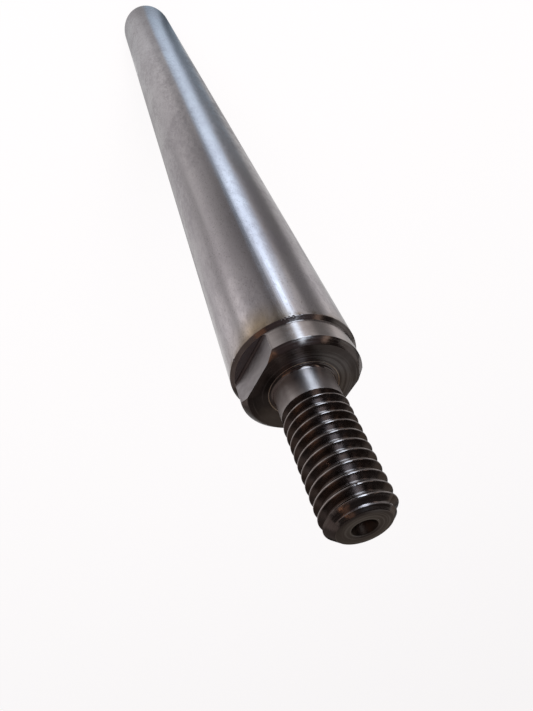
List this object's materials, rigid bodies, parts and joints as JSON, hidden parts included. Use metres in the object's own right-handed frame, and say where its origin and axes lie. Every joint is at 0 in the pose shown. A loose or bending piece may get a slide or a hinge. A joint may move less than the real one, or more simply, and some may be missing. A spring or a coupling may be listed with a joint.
{
  "type": "threaded shaft",
  "caption": "Ground steel shaft with a plain end, and at the other end a collar with wrench flats, a plain neck and a threaded stud with a centre hole.",
  "frame": {"origin": "middle of the plain end face, which the shaft stands on", "axes": "+Z along the axis towards the threaded stud; the two wrench flats face +X and -X"},
  "size_m": [0.016, 0.016, 0.1971],
  "materials": {
    "steel": "ground body, turned collar, neck and thread"
  },
  "bodies": {
    "root": {"shaft": "steel"}
  },
  "joints": []
}
